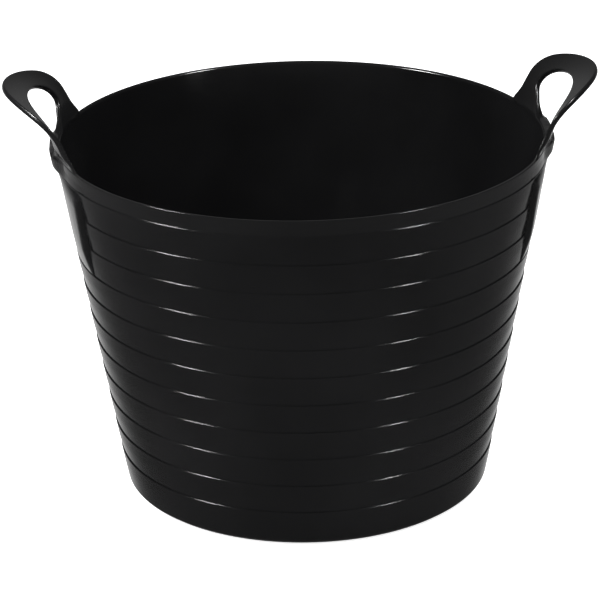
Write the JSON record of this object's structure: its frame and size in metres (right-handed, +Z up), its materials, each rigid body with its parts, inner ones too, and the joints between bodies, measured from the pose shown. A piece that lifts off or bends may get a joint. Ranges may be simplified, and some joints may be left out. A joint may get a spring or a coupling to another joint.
{
  "type": "flexible bucket",
  "caption": "Flexible round plastic bucket with a stepped wall, a thin lip and flared finger-hole handles that bend at their roots, for cut flowers, water or soil.",
  "frame": {"origin": "centre of the circle that the standing ring rests on, on the floor", "axes": "+Z up along the tub's axis; the handles are at +X and -X; Y runs front (-Y) to back (+Y)"},
  "size_m": [0.476, 0.3912, 0.3418],
  "materials": {
    "black_polyethylene": "semi-gloss black, moulded, faint scuffs"
  },
  "bodies": {
    "tub": {"foot_ring": "black_polyethylene", "floor": "black_polyethylene", "wall": "black_polyethylene", "rim_front": "black_polyethylene", "rim_rear": "black_polyethylene", "handle_panel_right": "black_polyethylene", "handle_panel_left": "black_polyethylene"},
    "right_grip": {"handle_right": "black_polyethylene"},
    "left_grip": {"handle_left": "black_polyethylene"}
  },
  "joints": [
    {"name": "right_handle_bend", "type": "hinge", "parent": "tub", "child": "right_grip", "pos_m": [0.1908, 0, 0.3045], "axis": [0, -1, 0], "range_deg": [-25, 60], "stiffness_Nm_per_rad": 2.3},
    {"name": "left_handle_bend", "type": "hinge", "parent": "tub", "child": "left_grip", "pos_m": [-0.1908, 0, 0.3045], "axis": [0, 1, 0], "range_deg": [-25, 60], "stiffness_Nm_per_rad": 2.3}
  ]
}
